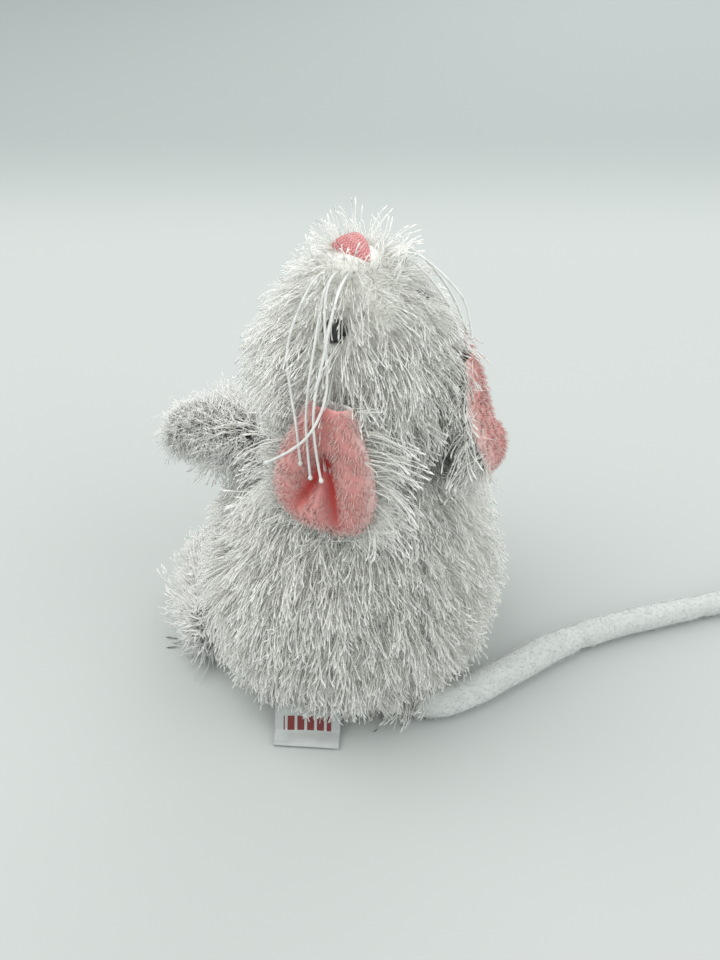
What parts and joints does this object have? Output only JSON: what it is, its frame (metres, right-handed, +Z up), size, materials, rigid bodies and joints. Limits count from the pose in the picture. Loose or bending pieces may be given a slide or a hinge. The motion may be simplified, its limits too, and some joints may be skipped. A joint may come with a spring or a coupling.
{
  "type": "plush mouse",
  "caption": "Bean-filled plush mouse sitting upright with its head tipped back, with floppy pink-lined ears, thread whiskers and a long tail.",
  "frame": {"origin": "on the floor, under the middle of the body", "axes": "+Z up; the mouse faces -Y, its left side is +X and its back is +Y"},
  "size_m": [0.2275, 0.1328, 0.1479],
  "materials": {
    "white_fur": "long pile plush",
    "pink_plush": "short pile plush",
    "tail_plush": "short pile plush",
    "nose_satin": "satin stitch",
    "thread_white": "twisted thread",
    "label_satin": "satin ribbon",
    "stuffing": "polyester fibre",
    "bean_pouch": "plain woven",
    "eye_black": "glossy",
    "washer_plastic": "moulded",
    "pellets": "moulded"
  },
  "bodies": {
    "torso": {"body_left_panel": "white_fur", "body_right_panel": "white_fur", "base_panel": "white_fur", "body_stuffing": "stuffing", "bean_pouch": "bean_pouch", "pellets": "pellets", "closing_stitches": "thread_white", "label": "label_satin"},
    "neck": {"neck_gather": "white_fur", "neck_seam_thread": "thread_white"},
    "head": {"head_left_panel": "white_fur", "head_right_panel": "white_fur", "head_gusset": "white_fur", "head_stuffing": "stuffing", "nose_embroidery": "nose_satin", "eye_left": "eye_black", "eye_left_washer": "washer_plastic", "eye_right": "eye_black", "eye_right_washer": "washer_plastic", "whisker_left_1": "thread_white", "whisker_left_2": "thread_white", "whisker_left_3": "thread_white", "whisker_left_4": "thread_white", "whisker_right_1": "thread_white", "whisker_right_2": "thread_white", "whisker_right_3": "thread_white"},
    "tail": {"tail_sleeve": "tail_plush", "tail_filling": "stuffing"},
    "ear_left": {"ear_left_back": "white_fur", "ear_left_lining": "pink_plush"},
    "arm_left": {"arm_left_skin": "white_fur", "arm_left_stuffing": "stuffing"},
    "leg_left": {"leg_left_skin": "white_fur", "leg_left_stuffing": "stuffing"},
    "ear_right": {"ear_right_back": "white_fur", "ear_right_lining": "pink_plush"},
    "arm_right": {"arm_right_skin": "white_fur", "arm_right_stuffing": "stuffing"},
    "leg_right": {"leg_right_skin": "white_fur", "leg_right_stuffing": "stuffing"}
  },
  "joints": [
    {"name": "head_turn", "type": "hinge", "parent": "torso", "child": "neck", "pos_m": [0, 0.00616, 0.09159], "axis": [0, 0.0941, 0.9956], "range_deg": [-35, 35], "stiffness_Nm_per_rad": 0.06},
    {"name": "head_nod", "type": "hinge", "parent": "neck", "child": "head", "pos_m": [0, 0.00616, 0.09159], "axis": [1, 0, 0], "range_deg": [-10, 9], "stiffness_Nm_per_rad": 0.15},
    {"name": "ear_left_flap", "type": "hinge", "parent": "head", "child": "ear_left", "pos_m": [0.0206, 0.02258, 0.11711], "axis": [0.5, -0.866, 0], "range_deg": [0, 95], "deforming": ["whisker_left_1", "whisker_left_2", "whisker_left_3", "whisker_left_4"]},
    {"name": "arm_left_swing", "type": "hinge", "parent": "torso", "child": "arm_left", "pos_m": [0.0213, -0.0189, 0.0785], "axis": [-0.7744, -0.6328, 0], "range_deg": [-22, 30], "stiffness_Nm_per_rad": 0.02},
    {"name": "leg_left_swing", "type": "hinge", "parent": "torso", "child": "leg_left", "pos_m": [0.04, -0.0205, 0.0116], "axis": [0, 0, 1], "range_deg": [0, 30], "stiffness_Nm_per_rad": 0.02},
    {"name": "ear_right_flap", "type": "hinge", "parent": "head", "child": "ear_right", "pos_m": [-0.0206, 0.02258, 0.11711], "axis": [0.5, 0.866, 0], "range_deg": [0, 95], "deforming": ["whisker_right_1", "whisker_right_2", "whisker_right_3"]},
    {"name": "arm_right_swing", "type": "hinge", "parent": "torso", "child": "arm_right", "pos_m": [-0.0213, -0.0189, 0.0785], "axis": [-0.7744, 0.6328, 0], "range_deg": [-22, 30], "stiffness_Nm_per_rad": 0.02},
    {"name": "leg_right_swing", "type": "hinge", "parent": "torso", "child": "leg_right", "pos_m": [-0.04, -0.0205, 0.0116], "axis": [0, 0, -1], "range_deg": [0, 30], "stiffness_Nm_per_rad": 0.02},
    {"name": "tail_swing", "type": "hinge", "parent": "torso", "child": "tail", "pos_m": [-0.0022, 0.0439, 0.0053], "axis": [0, 0, -1], "range_deg": [-4, 55], "stiffness_Nm_per_rad": 0.01}
  ]
}
